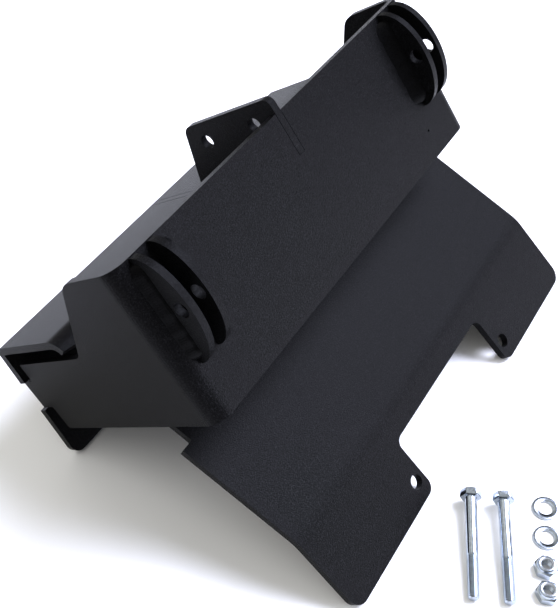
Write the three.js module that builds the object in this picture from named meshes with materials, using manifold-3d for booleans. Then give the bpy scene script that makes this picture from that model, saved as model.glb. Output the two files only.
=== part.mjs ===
// Snow plow mount bracket for an all-terrain vehicle: a welded plate assembly with its loose fixings.
// Millimetres, +Z up, front towards -Y. The bracket rests on its rear lip and on its two front tabs.
import * as THREE from "three";
import { mergeVertices } from "three/addons/utils/BufferGeometryUtils.js";
import Module from "manifold-3d";

const wasm = await Module();
wasm.setup();

// ---------------------------------------------------------------- driving dimensions
// The bracket is laid out in its own frame: x across, y rearwards from the front plate's face,
// z up along the front plate from its top edge. It is tipped back at the end.
const SHEET = 7; // bent plates and gusset
const EAR = 6.4; // clevis ears
const GAP = 0.3; // between pieces that touch
const SLOT_PLAY = 0.5; // beside the gusset in its slots
const HOLE = 13; // every pin and bolt hole in the bracket

const FRONT = { halfWidth: 210, height: 137.7, bend: 15.5, wingDepth: 217 };
const WING = {
  topRun: 63.5, // level top edge, from the front face
  shoulder: 18,
  slopeY: 110,
  shelf: 65.8,
  shelfRound: 11,
  rear: 203,
  tabTop: 84,
  tabBottom: 113.2,
};

const HAT = {
  rearLip: [227.4, -167.5], // bottom of the rear wall, outer face
  rearTop: [214.6, -45.2],
  frontTop: [124.45, -45.2],
  knee: [2.3, -256.2],
  toe: [-12.2, -330.8],
  bends: [9, 17, 45], // outer radii at the three corners
  halfRear: 212.5,
  halfSkid: 214.2,
  halfNeck: 202.7, // narrow stretch between the wings
  neckTop: [118.6, -55.3],
  neckBottom: [58.9, -158.5],
};
const RELIEF = { halfWidth: 194.7, height: 16, drop: 4.2, round: 3 }; // deeper, at the neck's top
const NOTCH = { top: 83.6, bottom: 114.6 }; // in the rear wall, one for each wing tab
const TABS = {
  inner: 81.4, // where the cut-out between the tabs begins, from the middle
  cut: 53.8, // its height up the toe
  cutRound: 8,
  holeX: 92.3,
  holeUp: 17.2,
  outerRound: 12,
  innerRound: 9,
};
const REAR_ROUND = 10;

const GUSSET = {
  slot: 38.4, // depth of its slot in the front plate
  top: 14.2, // above the front plate's top edge
  rearTopY: 104,
  rearFootY: 127.8,
  webFoot: 118, // its foot behind the front plate
  skidTop: 100, // its lower edge under the top web, at the skid
  lipTop: 92, // and at the rear wall
};
const GUSSET_HOLES = [
  [27.2, -3.2],
  [87.4, -3.8],
];

const EARS = {
  outer: 189.2,
  inner: 168.8,
  centreZ: -47,
  halfHeight: 46.3,
  reach: 27,
  holeY: -17.2,
  holeZ: -47.2,
};
const BEAD = { onEar: 8.5, onPlate: 12, onBend: 6, top: -5, bottom: -89, taper: 10 };
const SEAM_LEG = { wing: 6, gusset: 5 }; // bead sizes on the bent sheet
const PINHOLE = { x: 154, z: -113, diameter: 2.4 };

const BOLT = { diameter: 10, length: 88, flats: 16, head: 6.4, plain: 50.5 };
const WASHER = { outer: 22, inner: 12.8, thick: 2 };
const NUT = { flats: 17, height: 10.6, hexHeight: 7.4, bore: 10.3, insertBore: 9.4 };

// Where the loose fixings lie on the floor, in the frame of the tipped bracket.
const FIXINGS = {
  bolts: [
    { name: "hex_bolt_left", head: [-72.5, -234], tip: [-159.2, -271.9] },
    { name: "hex_bolt_right", head: [-61.7, -258.7], tip: [-147.5, -297.3] },
  ],
  washers: [
    { name: "flat_washer_upper", at: [-50.6, -289.1] },
    { name: "flat_washer_lower", at: [-76.5, -300.2] },
  ],
  nuts: [
    { name: "lock_nut_upper", insert: "nylon_ring_upper", at: [-103.9, -309.7], turn: 8 },
    { name: "lock_nut_lower", insert: "nylon_ring_lower", at: [-123.9, -319], turn: 21 },
  ],
};

// ---------------------------------------------------------------- finishes
const POWDER = { color: 0x1b1b1e, roughness: 0.6, metalness: 0.1 };
const SEAM = { color: 0x141416, roughness: 0.55, metalness: 0.1 };
const ZINC = { color: 0xc4c8cc, roughness: 0.3, metalness: 1 };
const NYLON = { color: 0xd9dadb, roughness: 0.6, metalness: 0 };

// ---------------------------------------------------------------- solid helpers
function solid(geometry, matrix = new THREE.Matrix4()) {
  const plain = geometry.clone().applyMatrix4(matrix);
  plain.deleteAttribute("normal");
  plain.deleteAttribute("uv");
  const merged = mergeVertices(plain, 1e-4);
  return new wasm.Manifold(
    new wasm.Mesh({
      numProp: 3,
      vertProperties: merged.attributes.position.array,
      triVerts: new Uint32Array(merged.index.array),
    }),
  );
}

function union(parts) {
  return parts.reduce((whole, part) => whole.add(part));
}

function cut(body, tools) {
  return tools.reduce((rest, tool) => rest.subtract(tool), body);
}

function extruded(shape, depth, matrix, segments = 10) {
  const geometry = new THREE.ExtrudeGeometry(shape, { depth, bevelEnabled: false, curveSegments: segments });
  return solid(geometry, matrix);
}

function basis(xAxis, yAxis, zAxis, origin) {
  return new THREE.Matrix4()
    .makeBasis(new THREE.Vector3(...xAxis), new THREE.Vector3(...yAxis), new THREE.Vector3(...zAxis))
    .setPosition(...origin);
}

// A y-z outline drawn out along x, from x0 to x1.
function acrossX(shape, x0, x1, segments) {
  return extruded(shape, x1 - x0, basis([0, 1, 0], [0, 0, 1], [1, 0, 0], [x0, 0, 0]), segments);
}

// An x-y outline drawn out along z, from z0 to z1.
function alongZ(shape, z0, z1, segments) {
  return extruded(shape, z1 - z0, new THREE.Matrix4().makeTranslation(0, 0, z0), segments);
}

function block(x0, x1, y0, y1, z0, z1) {
  const geometry = new THREE.BoxGeometry(x1 - x0, y1 - y0, z1 - z0);
  return solid(geometry, new THREE.Matrix4().makeTranslation((x0 + x1) / 2, (y0 + y1) / 2, (z0 + z1) / 2));
}

function pinAlongX(radius, x0, x1, y, z) {
  const geometry = new THREE.CylinderGeometry(radius, radius, x1 - x0, 36);
  return solid(geometry, basis([0, 1, 0], [1, 0, 0], [0, 0, -1], [(x0 + x1) / 2, y, z]));
}

// ---------------------------------------------------------------- outline helpers
// Points of an open polyline with each inner corner rounded; radii has one value for each corner.
function roundedPath(points, radii, steps = 8) {
  const path = [new THREE.Vector2(...points[0])];
  for (let i = 1; i < points.length - 1; i++) {
    const corner = new THREE.Vector2(...points[i]);
    const back = new THREE.Vector2(...points[i - 1]).sub(corner).normalize();
    const ahead = new THREE.Vector2(...points[i + 1]).sub(corner).normalize();
    const radius = radii[i - 1];
    if (!radius) {
      path.push(corner);
      continue;
    }
    const half = Math.acos(THREE.MathUtils.clamp(back.dot(ahead), -1, 1)) / 2;
    const reach = radius / Math.tan(half);
    const inward = back.clone().add(ahead).normalize();
    const centre = corner.clone().addScaledVector(inward, radius / Math.sin(half));
    const from = corner.clone().addScaledVector(back, reach).sub(centre);
    const to = corner.clone().addScaledVector(ahead, reach).sub(centre);
    let sweep = to.angle() - from.angle();
    if (sweep > Math.PI) sweep -= 2 * Math.PI;
    if (sweep < -Math.PI) sweep += 2 * Math.PI;
    for (let k = 0; k <= steps; k++) {
      const angle = from.angle() + (sweep * k) / steps;
      path.push(new THREE.Vector2(centre.x + radius * Math.cos(angle), centre.y + radius * Math.sin(angle)));
    }
  }
  path.push(new THREE.Vector2(...points.at(-1)));
  return path;
}

// The same polyline moved sideways by a distance, positive to the left of its run.
function offsetPoints(points, distance) {
  const moved = [];
  const normal = (a, b) => new THREE.Vector2(a[1] - b[1], b[0] - a[0]).normalize();
  points.forEach((point, i) => {
    const before = i > 0 ? normal(points[i - 1], point) : null;
    const after = i < points.length - 1 ? normal(point, points[i + 1]) : null;
    const first = before ?? after;
    const second = after ?? before;
    const middle = first.clone().add(second).normalize();
    const scale = distance / middle.dot(first);
    moved.push([point[0] + middle.x * scale, point[1] + middle.y * scale]);
  });
  return moved;
}

// A sheet profile: the outer polyline with bend radii, and the same polyline one thickness inside.
function sheetProfile(points, radii, thickness, steps) {
  const outer = roundedPath(points, radii, steps);
  const inner = roundedPath(
    offsetPoints(points, thickness),
    radii.map((radius) => radius - Math.abs(thickness)),
    steps,
  );
  return new THREE.Shape([...outer, ...inner.reverse()]);
}

// A closed outline with one rounding radius for each point.
function closedOutline(corners) {
  const count = corners.length;
  const points = [];
  corners.forEach(([x, y, radius = 0], i) => {
    const before = corners[(i + count - 1) % count];
    const after = corners[(i + 1) % count];
    const piece = roundedPath([before.slice(0, 2), [x, y], after.slice(0, 2)], [radius], radius > 6 ? 8 : 5);
    points.push(...piece.slice(1, -1));
  });
  return new THREE.Shape(points);
}

// Where the straight line through two [y, z] points is at height z.
function lineAt(upper, lower, z) {
  return upper[0] + ((lower[0] - upper[0]) * (z - upper[1])) / (lower[1] - upper[1]);
}

// ---------------------------------------------------------------- front plate with its two wings
function frontPlate() {
  const w = FRONT.halfWidth;
  const path = [
    [-w, FRONT.wingDepth],
    [-w, 0],
    [w, 0],
    [w, FRONT.wingDepth],
  ];
  const body = alongZ(sheetProfile(path, [FRONT.bend, FRONT.bend], SHEET, 10), -FRONT.height, 0);
  const side = closedOutline([
    [-2, 0],
    [-2, -FRONT.height],
    [WING.rear, -FRONT.height, 2],
    [WING.rear, -WING.tabBottom, 1.5],
    [FRONT.wingDepth, -WING.tabBottom, 1],
    [FRONT.wingDepth, -WING.tabTop, 1],
    [WING.rear, -WING.tabTop, 1.5],
    [WING.rear, -WING.shelf, 2],
    [WING.slopeY, -WING.shelf, WING.shelfRound],
    [WING.topRun, 0, WING.shoulder],
  ]);
  const trimmed = body.intersect(acrossX(side, -w - 5, w + 5));
  const half = SHEET / 2 + SLOT_PLAY;
  const slot = block(-half, half, -5, SHEET + 5, -GUSSET.slot, 5);
  const pinhole = solid(
    new THREE.CylinderGeometry(PINHOLE.diameter / 2, PINHOLE.diameter / 2, 6, 12),
    new THREE.Matrix4().makeTranslation(PINHOLE.x, 0, PINHOLE.z),
  );
  return cut(trimmed, [slot, pinhole]);
}

// ---------------------------------------------------------------- rear bracket and skid in one bent sheet
const HAT_PATH = [HAT.rearLip, HAT.rearTop, HAT.frontTop, HAT.knee, HAT.toe];

// Frame of a sloping leg: origin at its lower end, v up the leg, n out of its outer face.
function legFrame(lower, upper) {
  const v = new THREE.Vector2(upper[0] - lower[0], upper[1] - lower[1]).normalize();
  return basis([1, 0, 0], [0, v.x, v.y], [0, -v.y, v.x], [0, lower[0], lower[1]]);
}

// The waste beside the neck on the right: a long notch, deeper at its sloping top.
function neckWaste() {
  const [topY, topZ] = HAT.neckTop;
  const [bottomY, bottomZ] = HAT.neckBottom;
  const length = Math.hypot(topY - bottomY, topZ - bottomZ);
  const away = HAT.halfNeck + 30;
  const opening = closedOutline([
    [HAT.halfNeck, 0, 1.5],
    [away, 0],
    [away, length + RELIEF.drop],
    [RELIEF.halfWidth, length - RELIEF.drop, RELIEF.round],
    [RELIEF.halfWidth, length - RELIEF.height, RELIEF.round],
    [HAT.halfNeck, length - RELIEF.height, 1],
  ]);
  const depth = 60;
  const middle = new THREE.Matrix4().makeTranslation(0, 0, -depth / 2);
  return extruded(opening, depth, legFrame(HAT.neckBottom, HAT.neckTop).multiply(middle), 6);
}

// A body together with its mirror image on the other side of the bracket.
function bothSides(body) {
  return [body, body.mirror([1, 0, 0])];
}

// What is kept of the toe: two tabs with rounded ends and the bridge above the cut-out between them.
function toeOutline(toeFrame) {
  const depth = 40;
  const frame = toeFrame.clone().multiply(new THREE.Matrix4().makeTranslation(0, 0, -depth / 2));
  const above = 80;
  const tab = closedOutline([
    [TABS.inner, 0, TABS.innerRound],
    [HAT.halfSkid, 0, TABS.outerRound],
    [HAT.halfSkid, above],
    [TABS.inner, above],
  ]);
  const into = 5; // how far the bridge runs into each tab
  const low = TABS.cut - 3 * into;
  const bridge = closedOutline([
    [TABS.inner, TABS.cut, TABS.cutRound],
    [TABS.inner, low],
    [TABS.inner + into, low],
    [TABS.inner + into, above],
    [-TABS.inner - into, above],
    [-TABS.inner - into, low],
    [-TABS.inner, low],
    [-TABS.inner, TABS.cut, TABS.cutRound],
  ]);
  const roomy = [500, 600, 700];
  const upward = new THREE.Matrix4().makeTranslation(0, roomy[1] / 2 + above - into, -roomy[2] / 2 + 150);
  const rest = solid(new THREE.BoxGeometry(...roomy), toeFrame.clone().multiply(upward));
  return union([...bothSides(extruded(tab, depth, frame)), extruded(bridge, depth, frame), rest]);
}

function mountSheet() {
  const whole = acrossX(sheetProfile(HAT_PATH, HAT.bends, SHEET, 8), -HAT.halfSkid, HAT.halfSkid);
  const toeFrame = legFrame(HAT.toe, HAT.knee);
  const trimmed = whole.intersect(toeOutline(toeFrame));

  const away = HAT.halfRear + 20;
  const narrow = bothSides(block(HAT.halfRear, away, 96, 260, -200, 0));
  const notches = bothSides(block(HAT.halfNeck, away, 190, 260, -NOTCH.bottom, -NOTCH.top));
  const corner = extruded(cornerWaste(REAR_ROUND), 60, new THREE.Matrix4().makeTranslation(0, 0, -30));
  const rearFrame = legFrame(HAT.rearLip, HAT.rearTop);
  const rounds = bothSides(transformed(corner.mirror([1, 0, 0]), rearFrame, HAT.halfRear));

  const upright = new THREE.Matrix4().makeRotationX(Math.PI / 2);
  const drill = solid(new THREE.CylinderGeometry(HOLE / 2, HOLE / 2, 60, 36), upright);
  const holes = bothSides(transformed(drill, toeFrame, TABS.holeX, TABS.holeUp));
  const half = SHEET / 2 + SLOT_PLAY;
  const slot = acrossX(gussetOutline(GAP), -half, half);
  return cut(trimmed, [...narrow, ...bothSides(neckWaste()), ...notches, ...rounds, slot, ...holes]);
}

// The waste outside a rounded corner whose tip is the origin and whose plate lies in +x, +y.
function cornerWaste(radius) {
  const points = [new THREE.Vector2(-3, -3), new THREE.Vector2(radius, -3)];
  for (let k = 0; k <= 8; k++) {
    const angle = -Math.PI / 2 - (Math.PI / 2) * (k / 8);
    points.push(new THREE.Vector2(radius + radius * Math.cos(angle), radius + radius * Math.sin(angle)));
  }
  points.push(new THREE.Vector2(-3, radius));
  return new THREE.Shape(points);
}

// A body moved to x, y in a leg's frame.
function transformed(body, frame, x, y = 0) {
  return body.transform(frame.clone().multiply(new THREE.Matrix4().makeTranslation(x, y, 0)).elements);
}

// ---------------------------------------------------------------- centre gusset
// Its y-z outline. It fills its slots in the two sheets flush with their outer faces; grow widens it
// inside the sheets so that the same outline cuts the slot.
function gussetOutline(grow = 0) {
  const atSkid = lineAt(HAT.frontTop, HAT.knee, -GUSSET.skidTop);
  const atLip = lineAt(HAT.rearTop, HAT.rearLip, -GUSSET.lipTop);
  const past = grow ? 18 : 0;
  return closedOutline([
    [atSkid - past, -GUSSET.skidTop - grow],
    [atSkid + 60, -GUSSET.skidTop - grow],
    [atLip - 50, -GUSSET.lipTop - grow],
    [atLip + past, -GUSSET.lipTop - grow],
    [HAT.rearTop[0] + past, HAT.rearTop[1] + past],
    [HAT.frontTop[0] - past / 3, HAT.frontTop[1] + past],
  ]);
}

function centreGusset() {
  const half = SHEET / 2;
  const hull = new THREE.Shape(roundedPath(HAT_PATH, HAT.bends, 8));
  const inside = acrossX(gussetOutline(), -half, half).intersect(acrossX(hull, -half, half));
  const foot = lineAt(HAT.frontTop, HAT.knee, -GUSSET.webFoot);
  const back = SHEET + GAP;
  const ahead = acrossX(
    closedOutline([
      [0, -GUSSET.slot + GAP],
      [back, -GUSSET.slot + GAP],
      [back, -GUSSET.webFoot, 3],
      [foot - 12, -GUSSET.webFoot],
      [foot + 20, -GUSSET.webFoot],
      [HAT.frontTop[0], HAT.frontTop[1]],
      [GUSSET.rearFootY, HAT.rearTop[1]],
      [GUSSET.rearTopY, GUSSET.top, 10],
      [GAP, GUSSET.top, 7],
      [0, 0],
    ]),
    -half,
    half,
  );
  const clearance = sheetProfile(offsetPoints(HAT_PATH, -GAP), HAT.bends, SHEET + 2 * GAP, 8);
  const sheet = acrossX(clearance, -half - 1, half + 1);
  const slots = acrossX(gussetOutline(GAP), -half - 1, half + 1);
  const joined = inside.add(ahead).subtract(sheet.subtract(slots));
  const largest = joined.decompose().sort((a, b) => b.volume() - a.volume())[0];
  const holes = GUSSET_HOLES.map(([y, z]) => pinAlongX(HOLE / 2, -20, 20, y, z));
  return cut(largest, holes);
}

// ---------------------------------------------------------------- clevis ears and their weld beads
function ear(x) {
  const arc = [];
  const steps = 36;
  for (let k = 0; k <= steps; k++) {
    const angle = Math.PI / 2 + (Math.PI * k) / steps;
    arc.push(
      new THREE.Vector2(EARS.reach * Math.cos(angle) - GAP, EARS.centreZ + EARS.halfHeight * Math.sin(angle)),
    );
  }
  const body = acrossX(new THREE.Shape(arc), x - EAR / 2, x + EAR / 2);
  return body.subtract(pinAlongX(HOLE / 2, x - 20, x + 20, EARS.holeY, EARS.holeZ));
}

// A bead in the corner between the front plate and one face of an ear, tapered at both ends.
function earBead(x, side, onPlate) {
  const face = x + side * (EAR / 2 + GAP);
  const section = closedOutline([
    [face, -GAP],
    [face + side * onPlate, -GAP],
    [face, -GAP - BEAD.onEar],
  ]);
  const body = alongZ(section, BEAD.bottom, BEAD.top);
  const outline = acrossX(
    closedOutline([
      [2, BEAD.bottom],
      [2, BEAD.top],
      [-BEAD.onEar - 2, BEAD.top - BEAD.taper, 4],
      [-BEAD.onEar - 2, BEAD.bottom + BEAD.taper, 4],
    ]),
    x - 30,
    x + 30,
  );
  return body.intersect(outline);
}

// ---------------------------------------------------------------- seam beads on the bent sheet
// A straight bead with a slightly domed face, in the corner at x on one face of a sloping leg.
// side is the way it grows along x, outward the way it grows off the face, from v0 to v1 up the leg.
function legBead(frame, x, side, face, outward, leg, v0, v1) {
  const swell = 0.3;
  const steps = 4;
  const section = [new THREE.Vector2(x, face)];
  for (let k = 0; k <= steps; k++) {
    const share = k / steps;
    const angle = (Math.PI / 2) * share;
    const across = leg * ((1 - share) * (1 - swell) + swell * Math.cos(angle));
    const out = leg * (share * (1 - swell) + swell * Math.sin(angle));
    section.push(new THREE.Vector2(x + side * across, face + outward * out));
  }
  const run = basis([1, 0, 0], [0, 0, 1], [0, -1, 0], [0, v1, 0]);
  return extruded(new THREE.Shape(section), v1 - v0, frame.clone().multiply(run));
}

function seamBeads() {
  const skidFrame = legFrame(HAT.neckBottom, HAT.neckTop);
  const lipFrame = legFrame(HAT.rearLip, HAT.rearTop);
  const plateFrame = legFrame([0, 0], [0, 1]);
  const slope = (HAT.frontTop[0] - HAT.knee[0]) / (HAT.frontTop[1] - HAT.knee[1]);
  const upSkid = (z) => (z - HAT.neckBottom[1]) * Math.hypot(1, slope);
  const upLip = (z) => z - HAT.rearLip[1];
  const beads = [];
  for (const [where, side] of [
    ["left", -1],
    ["right", 1],
  ]) {
    const wall = side * (FRONT.halfWidth - SHEET - GAP);
    const web = side * (SHEET / 2 + GAP);
    const skidRun = [upSkid(-FRONT.height + 3), upSkid(-WING.shelf - 6)];
    const webRun = [upSkid(-GUSSET.webFoot + 2), upSkid(-54)];
    const lipRun = [upLip(-WING.tabBottom + 2), upLip(-WING.tabTop - 2)];
    const seams = {
      wing_skid: legBead(skidFrame, wall, -side, GAP, 1, SEAM_LEG.wing, ...skidRun),
      wing_lip: legBead(lipFrame, wall, -side, SHEET + GAP, 1, SEAM_LEG.wing, ...lipRun),
      gusset_skid: legBead(skidFrame, web, side, GAP, 1, SEAM_LEG.gusset, ...webRun),
      gusset_front: legBead(plateFrame, web, side, -SHEET - GAP, -1, SEAM_LEG.gusset, -108, -44),
    };
    for (const [seam, body] of Object.entries(seams)) {
      beads.push(["weld_" + seam + "_" + where, body]);
    }
  }
  return beads;
}

// ---------------------------------------------------------------- fixings
function hexagon(flats, height) {
  const geometry = new THREE.CylinderGeometry(flats / Math.sqrt(3), flats / Math.sqrt(3), height, 6);
  return solid(geometry, basis([1, 0, 0], [0, 0, 1], [0, -1, 0], [0, 0, height / 2]));
}

// A body of revolution about +z from [radius, height] points.
function turned(points, segments = 40) {
  const profile = points.map(([radius, height]) => new THREE.Vector2(radius, height));
  return solid(new THREE.LatheGeometry(profile, segments), new THREE.Matrix4().makeRotationX(Math.PI / 2));
}

// Hex head bolt with its head resting at z = 0 and its shank pointing up.
function hexBolt() {
  const corner = BOLT.flats / Math.sqrt(3);
  const dome = turned([
    [0, 0],
    [BOLT.flats / 2 - 0.3, 0],
    [corner + 0.6, 1.6],
    [corner + 0.6, BOLT.head],
    [0, BOLT.head],
  ]);
  const head = hexagon(BOLT.flats, BOLT.head).intersect(dome);
  const r = BOLT.diameter / 2;
  const root = r - 0.45;
  const end = BOLT.head + BOLT.length;
  const shank = turned([
    [0, BOLT.head - 1],
    [r, BOLT.head - 1],
    [r, BOLT.head + BOLT.plain],
    [root, BOLT.head + BOLT.plain + 0.8],
    [root, end - 1.2],
    [root - 1, end],
    [0, end],
  ]);
  return head.add(shank);
}

function flatWasher() {
  const [inner, outer, t, edge] = [WASHER.inner / 2, WASHER.outer / 2, WASHER.thick, 0.25];
  return turned([
    [inner, 0],
    [outer - edge, 0],
    [outer, edge],
    [outer, t - edge],
    [outer - edge, t],
    [inner, t],
    [inner, 0],
  ]);
}

function lockNut() {
  const corner = NUT.flats / Math.sqrt(3);
  const bore = NUT.bore / 2;
  const hex = hexagon(NUT.flats, NUT.hexHeight).intersect(
    turned([
      [0, 0],
      [NUT.flats / 2 - 0.2, 0],
      [corner + 0.4, 1.2],
      [corner + 0.4, NUT.hexHeight - 1.2],
      [NUT.flats / 2 - 0.2, NUT.hexHeight],
      [0, NUT.hexHeight],
    ]),
  );
  const collar = turned([
    [0, NUT.hexHeight - 1],
    [NUT.flats / 2 - 1.2, NUT.hexHeight - 1],
    [NUT.flats / 2 - 1.4, NUT.height - 0.8],
    [NUT.flats / 2 - 2.2, NUT.height],
    [0, NUT.height],
  ]);
  const tool = turned([
    [0, -1],
    [bore, -1],
    [bore, NUT.hexHeight - 0.4],
    [bore + 1.4, NUT.hexHeight - 0.4],
    [bore + 1.4, NUT.height - 0.9],
    [bore + 0.9, NUT.height + 1],
    [0, NUT.height + 1],
  ]);
  return hex.add(collar).subtract(tool);
}

function nylonRing() {
  const inner = NUT.insertBore / 2;
  const outer = NUT.bore / 2 + 1.1;
  const [z0, z1] = [NUT.hexHeight - 0.1, NUT.height - 1.2];
  return turned([
    [inner, z0],
    [outer, z0],
    [outer, z1],
    [inner, z1],
    [inner, z0],
  ]);
}

// ---------------------------------------------------------------- assembly
function meshOf(name, body, finish) {
  const made = body.getMesh();
  const geometry = new THREE.BufferGeometry()
    .setAttribute("position", new THREE.BufferAttribute(new Float32Array(made.vertProperties), 3))
    .setIndex(new THREE.BufferAttribute(new Uint32Array(made.triVerts), 1));
  geometry.computeVertexNormals();
  const mesh = new THREE.Mesh(geometry, new THREE.MeshStandardMaterial(finish));
  mesh.name = name;
  return mesh;
}

const bracket = new THREE.Group();
bracket.add(meshOf("front_plate", frontPlate(), POWDER));
bracket.add(meshOf("mount_sheet", mountSheet(), POWDER));
bracket.add(meshOf("centre_gusset", centreGusset(), POWDER));

const ears = [
  ["left_outer", -EARS.outer, -1, BEAD.onBend],
  ["left_inner", -EARS.inner, 1, BEAD.onPlate],
  ["right_inner", EARS.inner, -1, BEAD.onPlate],
  ["right_outer", EARS.outer, 1, BEAD.onBend],
];
for (const [where, x, side, onPlate] of ears) {
  bracket.add(meshOf("clevis_ear_" + where, ear(x), POWDER));
  bracket.add(meshOf("weld_ear_" + where, earBead(x, side, onPlate), SEAM));
}

for (const [name, body] of seamBeads()) bracket.add(meshOf(name, body, SEAM));

// Tip the bracket back until it stands on its rear lip and its front tabs.
const inward = offsetPoints(HAT_PATH, SHEET);
const contact = new THREE.Vector2(HAT.rearLip[0] - inward.at(-1)[0], HAT.rearLip[1] - inward.at(-1)[1]);
const tilt = contact.angle();
bracket.rotation.x = -tilt;
bracket.position.z = HAT.rearLip[0] * Math.sin(tilt) - HAT.rearLip[1] * Math.cos(tilt);

const fixings = new THREE.Group();
for (const { name, head, tip } of FIXINGS.bolts) {
  const bolt = meshOf(name, hexBolt(), ZINC);
  const run = new THREE.Vector2(tip[0] - head[0], tip[1] - head[1]);
  const droop = Math.asin((BOLT.flats - BOLT.diameter) / 2 / BOLT.length);
  const turn = new THREE.Group();
  turn.rotation.order = "ZYX";
  turn.rotation.z = run.angle();
  turn.rotation.y = Math.PI / 2 + droop;
  turn.position.set(head[0], head[1], (BOLT.flats / 2) * Math.cos(droop) + BOLT.head * Math.sin(droop));
  turn.add(bolt);
  fixings.add(turn);
}
for (const { name, at } of FIXINGS.washers) {
  const washer = meshOf(name, flatWasher(), ZINC);
  washer.position.set(at[0], at[1], 0);
  fixings.add(washer);
}
for (const { name, insert, at, turn } of FIXINGS.nuts) {
  for (const [label, body, finish] of [
    [name, lockNut(), ZINC],
    [insert, nylonRing(), NYLON],
  ]) {
    const piece = meshOf(label, body, finish);
    piece.position.set(at[0], at[1], 0);
    piece.rotation.z = THREE.MathUtils.degToRad(turn);
    fixings.add(piece);
  }
}

// Stand everything on the origin, centred under its bounding box.
const root = new THREE.Group();
root.add(bracket, fixings);
root.updateMatrixWorld(true);
const bounds = new THREE.Box3().setFromObject(root, true);
root.position.set(-(bounds.min.x + bounds.max.x) / 2, -(bounds.min.y + bounds.max.y) / 2, -bounds.min.z);

export default root;
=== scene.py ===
"""Snow plow mount bracket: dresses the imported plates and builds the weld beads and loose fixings."""

import logging
import math
from collections.abc import Callable, Sequence
from dataclasses import dataclass
from enum import Enum

import bpy
from mathutils import Matrix, Vector, noise


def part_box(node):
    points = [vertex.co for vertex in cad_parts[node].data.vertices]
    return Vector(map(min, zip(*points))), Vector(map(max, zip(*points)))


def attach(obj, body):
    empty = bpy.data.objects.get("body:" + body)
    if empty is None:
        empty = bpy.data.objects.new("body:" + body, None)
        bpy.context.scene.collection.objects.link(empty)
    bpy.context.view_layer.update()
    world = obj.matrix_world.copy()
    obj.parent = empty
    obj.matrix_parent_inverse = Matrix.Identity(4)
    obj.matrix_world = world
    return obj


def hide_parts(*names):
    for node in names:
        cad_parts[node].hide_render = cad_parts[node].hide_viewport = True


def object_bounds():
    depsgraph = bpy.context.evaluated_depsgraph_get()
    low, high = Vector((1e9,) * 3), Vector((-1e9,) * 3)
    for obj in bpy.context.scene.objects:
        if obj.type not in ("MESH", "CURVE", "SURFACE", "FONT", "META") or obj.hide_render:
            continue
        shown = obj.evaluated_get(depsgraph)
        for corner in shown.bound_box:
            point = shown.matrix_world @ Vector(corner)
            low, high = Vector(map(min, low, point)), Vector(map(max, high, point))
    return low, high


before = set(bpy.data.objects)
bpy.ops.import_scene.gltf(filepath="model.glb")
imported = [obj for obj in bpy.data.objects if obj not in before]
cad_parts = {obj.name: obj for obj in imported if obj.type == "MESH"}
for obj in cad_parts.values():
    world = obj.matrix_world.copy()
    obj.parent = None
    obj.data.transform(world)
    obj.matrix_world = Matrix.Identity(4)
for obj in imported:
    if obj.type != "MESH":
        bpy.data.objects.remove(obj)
CAD_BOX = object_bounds()

log = logging.getLogger("plow_bracket")

MM = 0.001
Colour = tuple[float, float, float]
Ring = list[Vector]


class Slot(Enum):
    """The record's material slots."""

    POWDER = "powder_coat"
    WELD = "weld_bead"
    ZINC = "zinc"
    NYLON = "nylon"


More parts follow.
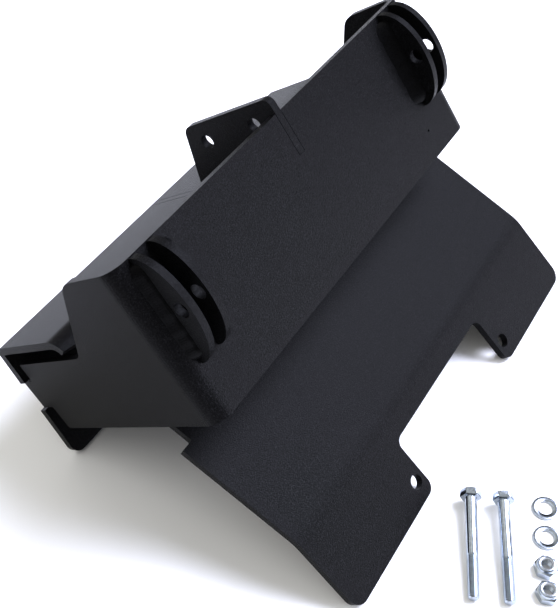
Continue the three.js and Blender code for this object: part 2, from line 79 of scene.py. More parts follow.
# ---------------------------------------------------------------- material helpers
@dataclass
class Wiring:
    """A material's node tree with short ways to add and join nodes."""

    material: bpy.types.Material

    @classmethod
    def begin(cls, name: str) -> "Wiring":
        """Starts an empty node material.

        Args:
            name: The material's name.

        Returns:
            The wiring of the new material.
        """
        material = bpy.data.materials.new(name)
        material.use_nodes = True
        material.node_tree.nodes.clear()
        return cls(material)

    def add(self, kind: str, **values: object) -> bpy.types.Node:
        """Adds a node.

        Args:
            kind: The node's type name without its prefix.
            **values: Attributes of the node, or inputs by name with spaces as underscores.

        Returns:
            The new node.
        """
        node = self.material.node_tree.nodes.new("ShaderNode" + kind)
        for key, value in values.items():
            socket = node.inputs.get(key.replace("_", " "))
            if socket is None:
                setattr(node, key, value)
            else:
                socket.default_value = value
        return node

    def join(self, start: bpy.types.NodeSocket, end: bpy.types.NodeSocket) -> None:
        """Links one socket to another."""
        self.material.node_tree.links.new(start, end)

    def grain(self, size: float, detail: float = 2.0, roughness: float = 0.5) -> bpy.types.Node:
        """Adds a noise in object space.

        Args:
            size: Distance between grains in metres.
            detail: Octaves of the noise.
            roughness: Share of the finer octaves.

        Returns:
            The noise node.
        """
        place = self.add("TexCoord")
        grain = self.add("TexNoise", Scale=1 / size, Detail=detail, Roughness=roughness)
        self.join(place.outputs["Object"], grain.inputs["Vector"])
        return grain

    def ramp(self, source: bpy.types.NodeSocket, stops: Sequence[tuple[float, Colour]]) -> bpy.types.Node:
        """Adds a colour ramp.

        Args:
            source: The value that drives the ramp.
            stops: Position and colour of each stop, in order.

        Returns:
            The ramp node.
        """
        ramp = self.add("ValToRGB")
        elements = ramp.color_ramp.elements
        while len(elements) < len(stops):
            elements.new(0.5)
        for element, (position, colour) in zip(elements, stops):
            element.position = position
            element.color = (*colour, 1.0)
        self.join(source, ramp.inputs["Fac"])
        return ramp

    def spread(self, source: bpy.types.NodeSocket, low: float, high: float) -> bpy.types.Node:
        """Maps the middle of a noise to a range of values.

        Args:
            source: The noise's value.
            low: Result at the low side.
            high: Result at the high side.

        Returns:
            The map range node.
        """
        spread = self.add("MapRange")
        spread.inputs["From Min"].default_value = 0.3
        spread.inputs["From Max"].default_value = 0.7
        spread.inputs["To Min"].default_value = low
        spread.inputs["To Max"].default_value = high
        self.join(source, spread.inputs["Value"])
        return spread

    def relief(
        self,
        height: bpy.types.NodeSocket,
        depth: float,
        strength: float,
        under: bpy.types.Node | None = None,
    ) -> bpy.types.Node:
        """Adds a bump.

        Args:
            height: The height value.
            depth: Height of the relief in metres.
            strength: How much of the relief shows.
            under: A bump that this one lies on.

        Returns:
            The bump node.
        """
        bump = self.add("Bump", Strength=strength, Distance=depth)
        self.join(height, bump.inputs["Height"])
        if under is not None:
            self.join(under.outputs["Normal"], bump.inputs["Normal"])
        return bump

    def close(self, shader: bpy.types.Node) -> bpy.types.Material:
        """Joins the shader to the output.

        Args:
            shader: The surface shader.

        Returns:
            The finished material.
        """
        output = self.add("OutputMaterial")
        self.join(shader.outputs[0], output.inputs["Surface"])
        return self.material


# ---------------------------------------------------------------- finishes
@dataclass(frozen=True)
class PowderCoat:
    """Black powder coat with a fine sandy texture."""

    name: str = "black_powder_coat"
    low: Colour = (0.0016, 0.0016, 0.0017)
    high: Colour = (0.0040, 0.0040, 0.0043)
    fleck: float = 3.2
    grain: float = 1.1 * MM
    orange_peel: float = 6.0 * MM
    cloud: float = 90.0 * MM
    relief: float = 0.45 * MM
    gloss: float = 0.032
    roughness: tuple[float, float] = (0.26, 0.36)

    def material(self) -> bpy.types.Material:
        """Builds the node material.

        Returns:
            The powder coat.
        """
        w = Wiring.begin(self.name)
        sand = w.grain(self.grain, detail=3.0, roughness=0.62)
        peel = w.grain(self.orange_peel, detail=2.0)
        cloud = w.grain(self.cloud, detail=3.0)
        pale = tuple(self.fleck * c for c in self.high)
        tone = w.ramp(sand.outputs["Fac"], [(0.34, self.low), (0.54, self.high), (0.67, pale)])
        shade = w.ramp(cloud.outputs["Fac"], [(0.3, (0.86, 0.86, 0.86)), (0.7, (1.0, 1.0, 1.0))])
        mixed = w.add("Mix", data_type="RGBA", blend_type="MULTIPLY")
        mixed.inputs["Factor"].default_value = 1.0
        w.join(tone.outputs["Color"], mixed.inputs["A"])
        w.join(shade.outputs["Color"], mixed.inputs["B"])
        rough = w.spread(sand.outputs["Fac"], *self.roughness)
        broad = w.relief(peel.outputs["Fac"], 0.05 * MM, 0.5)
        bump = w.relief(sand.outputs["Fac"], self.relief, 0.9, broad)
        shader = w.add("BsdfPrincipled")
        shader.inputs["Specular IOR Level"].default_value = self.gloss
        w.join(mixed.outputs["Result"], shader.inputs["Base Color"])
        w.join(rough.outputs["Result"], shader.inputs["Roughness"])
        w.join(bump.outputs["Normal"], shader.inputs["Normal"])
        return w.close(shader)


@dataclass(frozen=True)
class ZincPlate:
    """Bright zinc plating with a faint blue tint and slight mottling."""

    name: str = "bright_zinc"
    dull: Colour = (0.31, 0.35, 0.40)
    bright: Colour = (0.40, 0.445, 0.50)
    roughness: tuple[float, float] = (0.10, 0.17)

    def material(self) -> bpy.types.Material:
        """Builds the node material.

        Returns:
            The zinc plating.
        """
        w = Wiring.begin(self.name)
        mottle = w.grain(2.6 * MM, detail=4.0, roughness=0.6)
        fine = w.grain(0.35 * MM, detail=2.0)
        tone = w.ramp(mottle.outputs["Fac"], [(0.3, self.dull), (0.6, self.bright)])
        rough = w.spread(mottle.outputs["Fac"], *self.roughness)
        bump = w.relief(fine.outputs["Fac"], 0.004 * MM, 0.3)
        shader = w.add("BsdfPrincipled", Metallic=1.0)
        w.join(tone.outputs["Color"], shader.inputs["Base Color"])
        w.join(rough.outputs["Result"], shader.inputs["Roughness"])
        w.join(bump.outputs["Normal"], shader.inputs["Normal"])
        return w.close(shader)


@dataclass(frozen=True)
class Nylon:
    """Pale moulded nylon."""

    name: str = "pale_nylon"
    low: Colour = (0.46, 0.48, 0.50)
    high: Colour = (0.62, 0.64, 0.66)

    def material(self) -> bpy.types.Material:
        """Builds the node material.

        Returns:
            The nylon.
        """
        w = Wiring.begin(self.name)
        cloud = w.grain(1.5 * MM, detail=3.0)
        tone = w.ramp(cloud.outputs["Fac"], [(0.35, self.low), (0.65, self.high)])
        rough = w.spread(cloud.outputs["Fac"], 0.38, 0.52)
        bump = w.relief(cloud.outputs["Fac"], 0.03 * MM, 0.4)
        shader = w.add("BsdfPrincipled")
        w.join(tone.outputs["Color"], shader.inputs["Base Color"])
        w.join(rough.outputs["Result"], shader.inputs["Roughness"])
        w.join(bump.outputs["Normal"], shader.inputs["Normal"])
        return w.close(shader)


@dataclass(frozen=True)
class PaperSweep:
    """White studio floor."""

    name: str = "studio_floor"
    tone: Colour = (0.97, 0.97, 0.97)

    def material(self) -> bpy.types.Material:
        """Builds the node material.

        Returns:
            The floor's material.
        """
        w = Wiring.begin(self.name)
        cloud = w.grain(0.8, detail=2.0)
        tone = w.ramp(cloud.outputs["Fac"], [(0.3, tuple(0.99 * c for c in self.tone)), (0.7, self.tone)])
        shader = w.add("BsdfPrincipled", Roughness=0.9)
        shader.inputs["Specular IOR Level"].default_value = 0.1
        w.join(tone.outputs["Color"], shader.inputs["Base Color"])
        return w.close(shader)


# ---------------------------------------------------------------- mesh helpers
class Skin:
    """Vertices and faces collected ring by ring."""

    def __init__(self) -> None:
        """Starts with no vertices."""
        self.points: list[Vector] = []
        self.faces: list[tuple[int, ...]] = []

    def ring(self, points: Sequence[Vector]) -> list[int]:
        """Adds a ring of points.

        Args:
            points: The ring's points in order.

        Returns:
            Their indices.
        """
        first = len(self.points)
        self.points.extend(points)
        return list(range(first, len(self.points)))

    def bridge(self, lower: Sequence[int], upper: Sequence[int]) -> None:
        """Joins two closed rings of the same length with quads.

        Args:
            lower: Indices of the first ring.
            upper: Indices of the next ring.
        """
        count = len(lower)
        for i in range(count):
            j = (i + 1) % count
            self.faces.append((lower[i], lower[j], upper[j], upper[i]))

    def fan(self, ring: Sequence[int], centre: Vector, upward: bool) -> None:
        """Closes a ring with triangles to a centre point.

        Args:
            ring: The ring's indices.
            centre: The middle point.
            upward: Whether the cap faces the way that rings advance.
        """
        middle = self.ring([centre])[0]
        count = len(ring)
        for i in range(count):
            j = (i + 1) % count
            self.faces.append((ring[i], ring[j], middle) if upward else (ring[j], ring[i], middle))

    def stack(self, rings: Sequence[Sequence[Vector]], closed: bool = False) -> list[list[int]]:
        """Adds rings one after another and joins each to the next.

        Args:
            rings: The rings' points.
            closed: Whether the last ring joins the first.

        Returns:
            The indices of each ring.
        """
        added = [self.ring(points) for points in rings]
        for lower, upper in zip(added, added[1:]):
            self.bridge(lower, upper)
        if closed:
            self.bridge(added[-1], added[0])
        return added


@dataclass(frozen=True)
class Piece:
    """What a built piece is: its name, the CAD node it stands for, its slot and its body."""

    name: str
    node: str
    slot: Slot
    body: str

    def make(self, skin: Skin, material: bpy.types.Material, crease: float = 40.0) -> bpy.types.Object:
        """Args:
            skin: The mesh in the row frame.
            material: Its finish.
            crease: Angle in degrees above which an edge stays sharp.

        Returns:
            The new object.
        """
        mesh = bpy.data.meshes.new(self.name)
        mesh.from_pydata(skin.points, [], skin.faces)
        mesh.validate()
        mesh.update()
        mesh.shade_smooth()
        mesh.set_sharp_from_angle(angle=math.radians(crease))
        mesh.materials.append(material)
        piece = bpy.data.objects.new(self.name, mesh)
        bpy.context.scene.collection.objects.link(piece)
        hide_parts(self.node)
        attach(piece, self.body)
        log.info("%s: %d faces on %s", self.name, len(mesh.polygons), self.body)
        return piece


def heading(azimuth: float, elevation: float) -> Vector:
    """Works out the unit direction from the bracket to a place round it.

    Args:
        azimuth: Degrees from straight in front, anticlockwise seen from above.
        elevation: Degrees above the floor.

    Returns:
        The direction.
    """
    a, e = math.radians(azimuth), math.radians(elevation)
    return Vector((math.sin(a) * math.cos(e), -math.cos(a) * math.cos(e), math.sin(e)))


def polar(radius: float, angle: float, height: float) -> Vector:
    """Returns the point at a radius, an angle in radians and a height."""
    return Vector((radius * math.cos(angle), radius * math.sin(angle), height))


def circle(radius: float, height: float, count: int) -> Ring:
    """Returns a ring of points round the z axis."""
    return [polar(radius, math.tau * i / count, height) for i in range(count)]


def node_points(node: str) -> list[Vector]:
    """Returns the vertices of a CAD node in the row frame."""
    return [vertex.co.copy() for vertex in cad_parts[node].data.vertices]


# ---------------------------------------------------------------- the plates
@dataclass
class PlateWork:
    """The cut and bent plates and the clevis ears, dressed as they are."""

    coat: bpy.types.Material
    edge: float = 0.7 * MM
    flat_limit: float = 0.4
    edge_limit: float = 32.0
    nodes: tuple[str, ...] = (
        "front_plate",
        "mount_sheet",
        "centre_gusset",
        "clevis_ear_left_outer",
        "clevis_ear_left_inner",
        "clevis_ear_right_inner",
        "clevis_ear_right_outer",
    )

    def dress(self) -> None:
        """Gives each plate soft edges and the coat."""
        for name in self.nodes:
            self.dress_node(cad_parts[name])
            log.info("%s: dressed", name)

    def dress_node(self, plate: bpy.types.Object) -> None:
        """Rounds one plate's edges with modifiers and coats it.

        Args:
            plate: The CAD node's object.
        """
        plate.data.materials.clear()
        plate.data.materials.append(self.coat)
        plate.data.shade_smooth()
        flat = plate.modifiers.new("flat_faces", "DECIMATE")
        flat.decimate_type = "DISSOLVE"
        flat.angle_limit = math.radians(self.flat_limit)
        edges = plate.modifiers.new("soft_edges", "BEVEL")
        edges.width = self.edge
        edges.segments = 3
        edges.limit_method = "ANGLE"
        edges.angle_limit = math.radians(self.edge_limit)
        edges.harden_normals = True
        edges.use_clamp_overlap = False
        edges.miter_outer = "MITER_ARC"


# ---------------------------------------------------------------- the bracket's own frame
@dataclass(frozen=True)
class BracketFrame:
    """The tipped frame that the plates are laid out in.

    x runs across, y rearwards from the front plate's face and z up along it from its top edge.
    """

    tilt: float = math.radians(35.2761)
    plate_height: float = 137.7 * MM

    def matrix(self) -> Matrix:
        """Works out where this frame lies.

        Returns:
            The matrix from this frame to the row frame.
        """
        low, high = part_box("front_plate")
        origin = Vector((0.0, low.y + math.sin(self.tilt) * self.plate_height, high.z))
        return Matrix.Translation(origin) @ Matrix.Rotation(-self.tilt, 4, "X")


# ---------------------------------------------------------------- weld beads
@dataclass(frozen=True)
class Bead:
    """A fillet bead along a straight corner, with the ripples that welding leaves.

    The corner runs from start to end. Each side is the way that the bead lies on one plate.
    """

    start: Vector
    end: Vector
    side_a: Vector
    side_b: Vector
    leg_a: float
    leg_b: float
    seed: float
    hollow: float = 1.0
    pitch: float = 1.9 * MM
    ripple: float = 0.16 * MM
    bow: float = 1.6 * MM
    sunk: float = 0.5 * MM
    steps: int = 10
    rows_per_ripple: int = 5

    def section(self, along: float, length: float) -> Ring:
        """Works out one cross-section.

        Args:
            along: Distance from the start.
            length: Length of the whole bead.

        Returns:
            The ring of points, the corner first.
        """
        cap = 1.1 * self.leg_b
        near_end = min(1.0, min(along, length - along) / cap)
        size = math.sqrt(max(0.0, 1 - (1 - near_end) ** 2)) * 0.94 + 0.06
        wander = 1 + 0.10 * noise.noise(Vector((along * 130, self.seed, 0.0)))
        run = (self.end - self.start).normalized()
        corner = self.start + run * along
        outward = (self.side_a + self.side_b).normalized()
        ring = [corner - (self.side_a + self.side_b) * self.sunk]
        for k in range(self.steps + 1):
            share = k / self.steps
            middle = math.sin(math.pi * share)
            phase = (along + self.bow * middle) / self.pitch
            lift = self.ripple * (1 - (phase % 1.0) ** 2) * middle**0.7
            across = self.leg_a * (1 - share) ** (1 / self.hollow)
            out = self.leg_b * share**self.hollow
            point = corner + (self.side_a * across + self.side_b * out) * (size * wander)
            point += outward * (lift * size)
            if k == 0:
                point -= self.side_b * self.sunk
            if k == self.steps:
                point -= self.side_a * self.sunk
            ring.append(point)
        return ring

    def skin(self) -> Skin:
        """Sweeps the sections into a closed skin.

        Returns:
            The bead's mesh.
        """
        length = (self.end - self.start).length
        rows = max(8, round(length / self.pitch) * self.rows_per_ripple)
        rings = [self.section(length * i / rows, length) for i in range(rows + 1)]
        if (self.side_a.cross(self.side_b)).dot(self.end - self.start) < 0:
            rings = [ring[::-1] for ring in rings]
        skin = Skin()
        added = skin.stack(rings)
        skin.fan(added[0], self.start, upward=False)
        skin.fan(added[-1], self.end, upward=True)
        return skin


@dataclass
class WeldSeams:
    """Every fillet bead of the bracket. Lengths are in millimetres in the bracket's own frame."""

    coat: bpy.types.Material
    place: Matrix
    sheet: float = 7.0
    ear: float = 6.4
    ear_outer: float = 189.2
    ear_inner: float = 168.8
    ear_leg: float = 8.5
    plate_leg: float = 12.5
    bend_leg: float = 6.2
    ear_run: tuple[float, float] = (-88.5, -5.5)
    wing_inside: float = 203.0
    seam_leg: float = 6.3
    web_leg: float = 5.3
    skid_top: tuple[float, float] = (124.45, -45.2)
    skid_knee: tuple[float, float] = (2.3, -256.2)
    lip_top: tuple[float, float] = (214.6, -45.2)
    lip_foot: tuple[float, float] = (227.4, -167.5)
    skid_run: tuple[float, float] = (-134.7, -71.8)
    web_run: tuple[float, float] = (-116.0, -54.0)
    lip_run: tuple[float, float] = (-111.2, -86.0)
    front_run: tuple[float, float] = (-108.0, -44.0)

    def point(self, x: float, y: float, z: float) -> Vector:
        """Returns a point of the bracket's frame, in millimetres, in the row frame."""
        return self.place @ Vector((x * MM, y * MM, z * MM))

    def way(self, x: float, y: float, z: float) -> Vector:
        """Returns a direction of the bracket's frame in the row frame, at unit length."""
        return (self.place.to_3x3() @ Vector((x, y, z))).normalized()

    @staticmethod
    def on_line(top: tuple[float, float], foot: tuple[float, float], z: float) -> float:
        """Returns the y at which the line from top to foot reaches z."""
        return top[0] + (foot[0] - top[0]) * (z - top[1]) / (foot[1] - top[1])

    def make(self, node: str, bead: Bead) -> None:
        """Builds one bead in place of its CAD node."""
        Piece(node.replace("weld_", "bead_"), node, Slot.WELD, "bracket").make(bead.skin(), self.coat, 65.0)

    def ear_beads(self) -> None:
        """Builds the beads at the feet of the four ears."""
        ears = (
            ("left_outer", -self.ear_outer, -1, self.bend_leg),
            ("left_inner", -self.ear_inner, 1, self.plate_leg),
            ("right_inner", self.ear_inner, -1, self.plate_leg),
            ("right_outer", self.ear_outer, 1, self.bend_leg),
        )
        low, high = self.ear_run
        for seed, (where, middle, side, on_plate) in enumerate(ears):
            face = middle + side * self.ear / 2
            bead = Bead(
                self.point(face, 0, low),
                self.point(face, 0, high),
                self.way(side, 0, 0),
                self.way(0, -1, 0),
                on_plate * MM,
                self.ear_leg * MM,
                seed,
                hollow=1.4,
            )
            self.make("weld_ear_" + where, bead)

    def leg_bead(
        self,
        line: tuple[tuple[float, float], tuple[float, float]],
        x: float,
        side: int,
        off: float,
        outward: float,
        leg: float,
        run: tuple[float, float],
    ) -> Bead:
        """Works out a bead that runs up a leg of the bent sheet.

        Args:
            line: Upper and lower corner of the leg's outer face, as y and z.
            x: The wall that the bead leans on.
            side: The way the bead grows along x.
            off: Distance of the bead's face from the outer face, along the leg's normal.
            outward: 1 where it grows off the outer face, -1 where it grows off the inner one.
            leg: The bead's leg.
            run: Lowest and highest z on the outer face.

        Returns:
            The bead.
        """
        (top, foot), (low, high) = line, run
        along = Vector((0, top[0] - foot[0], top[1] - foot[1])).normalized()
        normal = Vector((0, -along.z, along.y))
        ends = [Vector((x, self.on_line(top, foot, z), z)) + normal * off for z in (low, high)]
        return Bead(
            self.point(*ends[0]),
            self.point(*ends[1]),
            self.way(side, 0, 0),
            self.way(*(normal * outward)),
            leg * MM,
            leg * MM,
            x + off,
            hollow=0.8,
        )

    def plate_beads(self) -> None:
        """Builds the beads between the wings, the gusset and the two sheets."""
        skid = (self.skid_top, self.skid_knee)
        lip = (self.lip_top, self.lip_foot)
        for where, side in (("left", -1), ("right", 1)):
            wall, web = side * self.wing_inside, side * self.sheet / 2
            wing_skid = self.leg_bead(skid, wall, -side, 0, 1, self.seam_leg, self.skid_run)
            wing_lip = self.leg_bead(lip, wall, -side, self.sheet, 1, self.seam_leg, self.lip_run)
            gusset_skid = self.leg_bead(skid, web, side, 0, 1, self.web_leg, self.web_run)
            self.make("weld_wing_skid_" + where, wing_skid)
            self.make("weld_wing_lip_" + where, wing_lip)
            self.make("weld_gusset_skid_" + where, gusset_skid)
            low, high = self.front_run
            front = Bead(
                self.point(web, self.sheet, low),
                self.point(web, self.sheet, high),
                self.way(side, 0, 0),
                self.way(0, 1, 0),
                self.web_leg * MM,
                self.web_leg * MM,
                20 + side,
                hollow=0.8,
            )
            self.make("weld_gusset_front_" + where, front)

    def build(self) -> None:
        """Builds every bead."""
        self.ear_beads()
        self.plate_beads()


# ---------------------------------------------------------------- threads and hexagons
@dataclass(frozen=True)
class Thread:
    """A metric thread as radii along an axis."""

    major: float = 4.92 * MM
    pitch: float = 1.5 * MM
    depth: float = 0.90 * MM
    rows_per_turn: int = 10
    around: int = 40

    def dip(self, angle: float, height: float) -> float:
        """Works out how deep the groove is.

        Args:
            angle: Angle round the axis, in radians.
            height: Distance along the axis.

        Returns:
            The depth below the crest, from 0 to 1.
        """
        phase = (height / self.pitch - angle / math.tau) % 1.0
        flank = abs(2 * phase - 1)
        return min(1.0, max(0.0, (flank - 0.14) / 0.66))

    def rings(self, low: float, high: float, radius: Callable[[float, float], float]) -> list[Ring]:
        """Works out the rings of a threaded stretch.

        Args:
            low: Height of the first ring.
            high: Height of the last ring.
            radius: Gives the radius at an angle and a height.

        Returns:
            The rings from low to high.
        """
        rows = round((high - low) / self.pitch * self.rows_per_turn)
        heights = [low + (high - low) * i / rows for i in range(rows + 1)]
        angles = [math.tau * i / self.around for i in range(self.around)]
        return [[polar(radius(a, h), a, h) for a in angles] for h in heights]


def hex_radius(flats: float, angle: float) -> float:
    """Works out the radius of a hexagon that has a corner at angle 0.

    Args:
        flats: Width across the flats.
        angle: Angle round the middle, in radians.

    Returns:
        The radius at that angle.
    """
    sector = math.pi / 3
    return flats / 2 / math.cos((angle % sector) - sector / 2)


def hex_ring(flats: float, limit: float, height: Callable[[float], float], around: int) -> Ring:
    """Works out a ring on a hexagon that a circle trims.

    Args:
        flats: Width across the flats.
        limit: Largest radius.
        height: Gives the height at the ring's untrimmed radius.
        around: Number of points.

    Returns:
        The ring.
    """
    ring = []
    for i in range(around):
        angle = math.tau * i / around
        full = hex_radius(flats, angle)
        ring.append(polar(min(full, limit), angle, height(full)))
    return ring


def chamfer_height(top: float, start: float, slope: float) -> Callable[[float], float]:
    """Describes a cone-shaped chamfer on the end of a hexagon.

    Args:
        top: Height of the flat end.
        start: Radius at which the cone begins.
        slope: How far the cone falls for each unit of radius.

    Returns:
        A function that gives the height at a radius.
    """
    return lambda radius: top - max(0.0, radius - start) * slope


# ---------------------------------------------------------------- bolts
@dataclass
class HexBolt:
    """A long hex head bolt, lying where its CAD node lies."""

    name: str
    node: str
    body: str
    zinc: bpy.types.Material
    flats: float = 16.0 * MM
    head: float = 6.4 * MM
    shank: float = 4.98 * MM
    length: float = 88.0 * MM
    plain: float = 50.5 * MM
    thread: Thread = Thread()
    around: int = 72

    def head_rings(self) -> list[Ring]:
        """Works out the head from the middle of its top face to under its rim.

        Returns:
            The rings, top face first.
        """
        corner, half = self.flats / math.sqrt(3), self.flats / 2
        start = half - 0.5 * MM
        wall = chamfer_height(0.0, start, -math.tan(math.radians(30)))
        soft = 0.18 * MM
        rings = [
            circle(start * 0.45, 0.0, self.around),
            circle(start - 0.7 * MM, 0.0, self.around),
            circle(start - 0.1 * MM, 0.04 * MM, self.around),
            hex_ring(self.flats, corner - soft, lambda r: wall(r) - 0.06 * MM, self.around),
            hex_ring(self.flats, corner - soft * 0.3, lambda r: wall(r) + 0.12 * MM, self.around),
            hex_ring(self.flats, corner - soft * 0.3, lambda r: self.head - 0.25 * MM, self.around),
            hex_ring(self.flats - 0.3 * MM, corner, lambda r: self.head, self.around),
            circle(half - 0.8 * MM, self.head, self.around),
        ]
        return rings

    def shank_radius(self, angle: float, height: float) -> float:
        """Works out the threaded stretch's radius.

        Args:
            angle: Angle round the axis, in radians.
            height: Distance from the head's top face.

        Returns:
            The radius.
        """
        begin, end = self.head + self.plain, self.head + self.length
        fade = min(1.0, max(0.0, (height - begin) / (1.6 * self.thread.pitch)))
        crest = self.shank + (self.thread.major - self.shank) * fade
        cone = self.thread.major - 1.1 * MM + (end - height)
        return min(crest - self.thread.depth * fade * self.thread.dip(angle, height), cone)

    def skin(self) -> Skin:
        """Builds the bolt along +z with the head's top face at 0.

        Returns:
            The bolt's mesh.
        """
        skin = Skin()
        head = skin.stack(self.head_rings())
        skin.fan(head[0], Vector((0, 0, 0)), upward=False)
        begin, end = self.head + self.plain, self.head + self.length
        count = self.thread.around
        smooth = [
            circle(self.shank + 0.5 * MM, self.head, count),
            circle(self.shank + 0.12 * MM, self.head + 0.15 * MM, count),
            circle(self.shank, self.head + 0.6 * MM, count),
            circle(self.shank, self.head + self.plain * 0.5, count),
            circle(self.shank, begin - 0.3 * MM, count),
        ]
        rings = smooth + self.thread.rings(begin, end, self.shank_radius)
        shank = skin.stack(rings)
        self.collar(skin, head[-1], shank[0])
        skin.fan(shank[-1], Vector((0, 0, end)), upward=True)
        return skin

    def collar(self, skin: Skin, outer: Sequence[int], inner: Sequence[int]) -> None:
        """Joins the head's underside to the shank, whose rings differ in count.

        Args:
            skin: The bolt's mesh.
            outer: Indices of the ring under the head.
            inner: Indices of the shank's first ring.
        """
        marks = [(i / len(outer), 0, i) for i in range(1, len(outer))]
        marks += [(i / len(inner), 1, i) for i in range(1, len(inner))]
        at_outer, at_inner = 0, 0
        for _, which, index in sorted(marks) + [(1.0, 0, 0), (1.0, 1, 0)]:
            if which == 0:
                skin.faces.append((outer[at_outer], outer[index], inner[at_inner]))
                at_outer = index
            else:
                skin.faces.append((inner[index], inner[at_inner], outer[at_outer]))
                at_inner = index

    def placement(self) -> Matrix:
        """Finds the CAD bolt's axis.

        Returns:
            The matrix that lays this bolt on the axis.
        """
        points = node_points(self.node)
        low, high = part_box(self.node)
        middle = (low + high) / 2
        far = max(points, key=lambda p: (p - middle).length)
        away = max(points, key=lambda p: (p - far).length)
        ends = [self.end_middle(points, far - away), self.end_middle(points, away - far)]
        spread = [max((p - e).length for p in points if (p - e).length < 2 * self.flats / 3) for e in ends]
        top, tip = ends if spread[0] > spread[1] else ends[::-1]
        axis = (tip - top).normalized()
        across = axis.cross(Vector((0, 0, 1))).normalized()
        matrix = Matrix((across, axis.cross(across), axis)).transposed().to_4x4()
        return Matrix.Translation(top) @ matrix

    @staticmethod
    def end_middle(points: Sequence[Vector], way: Vector) -> Vector:
        """Finds the middle of the vertices that lie furthest along a way.

        Args:
            points: The vertices.
            way: The way to look.

        Returns:
            Their middle.
        """
        way = way.normalized()
        most = max(p.dot(way) for p in points)
        last = [p for p in points if most - p.dot(way) < 0.9 * MM]
        return sum(last, Vector()) / len(last)

    def build(self) -> None:
        """Builds the bolt and lays it in place."""
        skin = self.skin()
        place = self.placement()
        skin.points = [place @ p for p in skin.points]
        Piece(self.name, self.node, Slot.ZINC, self.body).make(skin, self.zinc, 35.0)


# ---------------------------------------------------------------- washers and nuts
@dataclass
class FlatWasher:
    """A stamped flat washer: rolled on its upper edges, sharp below."""

    name: str
    node: str
    body: str
    zinc: bpy.types.Material
    bore: float = 6.4 * MM
    rim: float = 11.0 * MM
    around: int = 72

    def build(self) -> None:
        """Builds the washer on the floor where its CAD node lies."""
        low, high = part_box(self.node)
        top, roll = high.z - low.z, 0.3 * MM
        profile = [
            (self.bore + 0.08 * MM, 0.0),
            (self.rim - 0.15 * MM, 0.0),
            (self.rim, 0.12 * MM),
            (self.rim, top - roll),
            (self.rim - 0.1 * MM, top - 0.4 * roll),
            (self.rim - 0.2 * MM, top - 0.1 * roll),
            (self.rim - 0.35 * MM, top),
            (self.bore + 0.2 * MM, top),
            (self.bore + 0.07 * MM, top - 0.07 * MM),
            (self.bore, top - 0.2 * MM),
            (self.bore, 0.08 * MM),
        ]
        skin = Skin()
        skin.stack([circle(r, h, self.around) for r, h in profile[::-1]], closed=True)
        centre = Vector(((low.x + high.x) / 2, (low.y + high.y) / 2, low.z))
        skin.points = [centre + p for p in skin.points]
        Piece(self.name, self.node, Slot.ZINC, self.body).make(skin, self.zinc, 35.0)


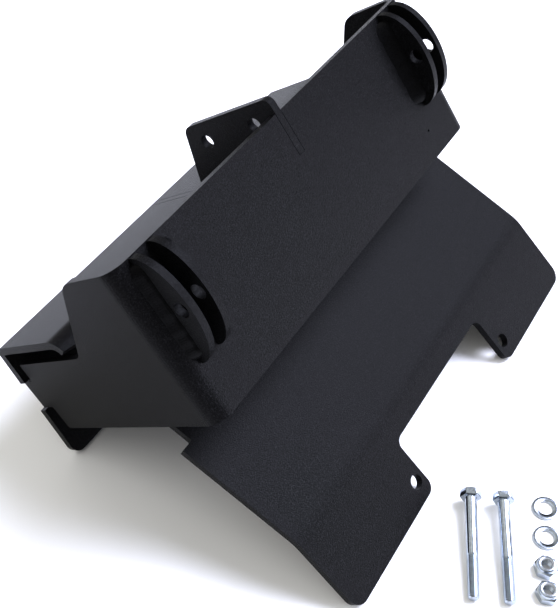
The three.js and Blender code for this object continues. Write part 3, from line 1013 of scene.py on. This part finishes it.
@dataclass
class LockNut:
    """A hex lock nut with a threaded bore and a nylon ring rolled into its collar."""

    where: str
    zinc: bpy.types.Material
    nylon: bpy.types.Material
    flats: float = 17.0 * MM
    bore: float = 5.1 * MM
    hex_height: float = 7.4 * MM
    height: float = 10.6 * MM
    ring_bore: float = 4.7 * MM
    around: int = 72
    thread: Thread = Thread(major=5.12 * MM, depth=0.78 * MM, around=72, rows_per_turn=8)

    def bore_radius(self, angle: float, height: float) -> float:
        """Works out the threaded bore's radius.

        Args:
            angle: Angle round the axis, in radians.
            height: Height above the nut's lower face.

        Returns:
            The radius.
        """
        mouth = self.bore + 0.5 * MM - height
        crest = self.thread.major - self.thread.depth * (1 - self.thread.dip(angle, height))
        return max(crest, mouth)

    def metal_rings(self) -> list[Ring]:
        """Works out the nut's closed section, up its outside and down its bore.

        Returns:
            The rings in order; the last joins the first.
        """
        corner, half = self.flats / math.sqrt(3), self.flats / 2
        start = half - 0.45 * MM
        slope = math.tan(math.radians(30))
        below = chamfer_height(0.0, start, -slope)
        above = chamfer_height(self.hex_height, start, slope)
        trim = corner - 0.06 * MM
        collar = half - 1.1 * MM
        count = self.around
        outside = [
            circle(self.bore + 0.6 * MM, 0.0, count),
            circle(start, 0.0, count),
            hex_ring(self.flats, trim, lambda r: below(r) + 0.05 * MM, count),
            hex_ring(self.flats, trim, lambda r: below(r) + 0.25 * MM, count),
            hex_ring(self.flats, trim, lambda r: above(r) - 0.25 * MM, count),
            hex_ring(self.flats, trim, lambda r: above(r) - 0.05 * MM, count),
            circle(start - 0.1 * MM, self.hex_height, count),
            circle(collar + 0.15 * MM, self.hex_height + 0.1 * MM, count),
            circle(collar, self.hex_height + 0.45 * MM, count),
        ]
        roll = 1.25 * MM
        turn = [
            circle(
                collar - roll + roll * math.cos(a) - 0.25 * MM * math.sin(a),
                self.height - roll + roll * math.sin(a),
                count,
            )
            for a in [math.radians(d) for d in (0, 20, 40, 60, 80, 100, 118)]
        ]
        seat = [
            circle(self.ring_bore + 0.95 * MM, self.height - 0.75 * MM, count),
            circle(self.ring_bore + 0.95 * MM, self.hex_height - 0.35 * MM, count),
            circle(self.bore + 0.05 * MM, self.hex_height - 0.35 * MM, count),
        ]
        bore = self.thread.rings(0.05 * MM, self.hex_height - 0.5 * MM, self.bore_radius)[::-1]
        return outside + turn + seat + bore

    def ring_rings(self) -> list[Ring]:
        """Works out the nylon ring's closed section.

        Returns:
            The rings in order; the last joins the first.
        """
        low, high = self.hex_height - 0.3 * MM, self.height - 0.8 * MM
        inner, outer, soft = self.ring_bore, self.ring_bore + 0.9 * MM, 0.25 * MM
        profile = [
            (inner + soft, low),
            (outer, low),
            (outer, high),
            (inner + soft, high),
            (inner + soft * 0.3, high - soft * 0.3),
            (inner, high - soft),
            (inner, low + soft),
        ]
        return [circle(r, h, self.around) for r, h in profile]

    def placement(self, node: str) -> Matrix:
        """Finds where a CAD nut stands and how it is turned.

        Args:
            node: The nut's CAD node.

        Returns:
            The matrix that puts a nut built on the origin in its place.
        """
        low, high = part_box(node)
        centre = Vector(((low.x + high.x) / 2, (low.y + high.y) / 2, low.z))
        corner = max(node_points(node), key=lambda p: (p - centre).xy.length)
        turn = math.atan2(corner.y - centre.y, corner.x - centre.x)
        return Matrix.Translation(centre) @ Matrix.Rotation(turn, 4, "Z")

    def build(self) -> None:
        """Builds the nut and its ring."""
        body = "nut_" + self.where
        place = self.placement("lock_nut_" + self.where)
        for label, slot, finish, rings in (
            ("lock_nut_", Slot.ZINC, self.zinc, self.metal_rings()),
            ("nylon_ring_", Slot.NYLON, self.nylon, self.ring_rings()),
        ):
            skin = Skin()
            skin.stack(rings, closed=True)
            skin.points = [place @ p for p in skin.points]
            Piece("turned_" + label + self.where, label + self.where, slot, body).make(skin, finish, 35.0)


# ---------------------------------------------------------------- studio
@dataclass
class Camera:
    """The camera, by where it looks and from which side.

    The aim is a point measured from the middle of the front plate's top edge.
    """

    azimuth: float = -57.30
    elevation: float = 46.43
    roll: float = -1.505
    aim: tuple[float, float, float] = (-0.01988, -0.00904, -0.19569)
    distance: float = 0.9
    lens: float = 58.46

    def build(self) -> None:
        """Adds the camera to the scene."""
        back = heading(self.azimuth, self.elevation)
        data = bpy.data.cameras.new("camera")
        data.lens = self.lens
        data.clip_start = 0.05
        camera = bpy.data.objects.new("camera", data)
        camera.location = BracketFrame().matrix().translation + Vector(self.aim) + back * self.distance
        level = (-back).to_track_quat("-Z", "Y").to_matrix().to_4x4()
        turn = level @ Matrix.Rotation(math.radians(self.roll), 4, "Z")
        camera.rotation_euler = turn.to_euler()
        bpy.context.scene.collection.objects.link(camera)
        bpy.context.scene.camera = camera


@dataclass(frozen=True)
class Glow:
    """A soft patch of light in the surroundings.

    The patch is full strength where a direction's cosine with the patch's own is over `full`,
    and fades to nothing at `edge`.
    """

    azimuth: float
    elevation: float
    strength: float
    edge: float
    full: float
    colour: Colour = (1.0, 1.0, 1.0)

    def join(self, tree: bpy.types.NodeTree, place: bpy.types.Node) -> bpy.types.Node:
        """Adds the patch's nodes to a world.

        Args:
            tree: The world's node tree.
            place: The node that gives directions.

        Returns:
            The background node that shines.
        """
        facing = tree.nodes.new("ShaderNodeVectorMath")
        facing.operation = "DOT_PRODUCT"
        facing.inputs[1].default_value = heading(self.azimuth, self.elevation)
        fall = tree.nodes.new("ShaderNodeMapRange")
        fall.interpolation_type = "SMOOTHSTEP"
        fall.inputs["From Min"].default_value = self.edge
        fall.inputs["From Max"].default_value = self.full
        fall.inputs["To Max"].default_value = self.strength
        light = tree.nodes.new("ShaderNodeBackground")
        light.inputs["Color"].default_value = (*self.colour, 1.0)
        tree.links.new(place.outputs["Generated"], facing.inputs[0])
        tree.links.new(facing.outputs["Value"], fall.inputs["Value"])
        tree.links.new(fall.outputs["Result"], light.inputs["Strength"])
        return light


@dataclass(frozen=True)
class Studio:
    """Pale floor and soft light all round, dark on the side facing the bends."""

    floor_radius: float = 1.45
    around: int = 96
    ambient: float = 0.06
    backdrop: Colour = (0.96, 0.96, 0.96)
    glows: tuple[Glow, ...] = (
        Glow(27, 7, 10.2, 0.90, 0.995, (0.93, 0.95, 1.13)),
        Glow(56, 51, 21.0, 0.91, 0.99, (0.91, 0.95, 1.17)),
        Glow(144, 8, 0.5, 0.70, 0.97, (1.0, 0.99, 0.96)),
        Glow(190, 50, 1.2, 0.50, 0.95, (1.0, 0.99, 0.95)),
        Glow(300, 50, 0.40, 0.45, 0.95, (1.0, 0.99, 0.96)),
    )

    def floor(self) -> None:
        """Adds the white floor."""
        rim = [polar(self.floor_radius, math.tau * i / self.around, 0) for i in range(self.around)]
        mesh = bpy.data.meshes.new("studio_floor")
        mesh.from_pydata(rim, [], [tuple(range(self.around))])
        mesh.materials.append(PaperSweep().material())
        floor = bpy.data.objects.new("studio_floor", mesh)
        floor.location.z = CAD_BOX[0].z - 0.02 * MM
        bpy.context.scene.collection.objects.link(floor)

    def world(self) -> None:
        """Adds the surroundings: the sum of the soft patches, behind a plain pale backdrop."""
        world = bpy.data.worlds.new("studio")
        bpy.context.scene.world = world
        world.use_nodes = True
        tree = world.node_tree
        tree.nodes.clear()
        place = tree.nodes.new("ShaderNodeTexCoord")
        dim = tree.nodes.new("ShaderNodeBackground")
        dim.inputs["Strength"].default_value = self.ambient
        total = dim.outputs["Background"]
        for glow in self.glows:
            both = tree.nodes.new("ShaderNodeAddShader")
            tree.links.new(total, both.inputs[0])
            tree.links.new(glow.join(tree, place).outputs["Background"], both.inputs[1])
            total = both.outputs["Shader"]
        seen = tree.nodes.new("ShaderNodeLightPath")
        plain = tree.nodes.new("ShaderNodeBackground")
        plain.inputs["Color"].default_value = (*self.backdrop, 1.0)
        either = tree.nodes.new("ShaderNodeMixShader")
        output = tree.nodes.new("ShaderNodeOutputWorld")
        tree.links.new(seen.outputs["Is Camera Ray"], either.inputs["Fac"])
        tree.links.new(total, either.inputs[1])
        tree.links.new(plain.outputs["Background"], either.inputs[2])
        tree.links.new(either.outputs["Shader"], output.inputs["Surface"])

    def build(self) -> None:
        """Builds the studio."""
        bpy.context.scene.view_settings.view_transform = "Standard"
        self.floor()
        self.world()


def main() -> None:
    """Builds everything in order."""
    logging.basicConfig(level=logging.INFO, format="%(name)s: %(message)s")
    coat = PowderCoat().material()
    seam = PowderCoat("coated_weld", fleck=1.0, relief=0.05 * MM, roughness=(0.25, 0.35)).material()
    zinc, nylon = ZincPlate().material(), Nylon().material()
    Camera().build()
    PlateWork(coat).dress()
    WeldSeams(seam, BracketFrame().matrix()).build()
    for where in ("left", "right"):
        HexBolt("threaded_bolt_" + where, "hex_bolt_" + where, "bolt_" + where, zinc).build()
    for where in ("upper", "lower"):
        FlatWasher("stamped_washer_" + where, "flat_washer_" + where, "washer_" + where, zinc).build()
        LockNut(where, zinc, nylon).build()
    Studio().build()


if __name__ == "__main__":
    main()
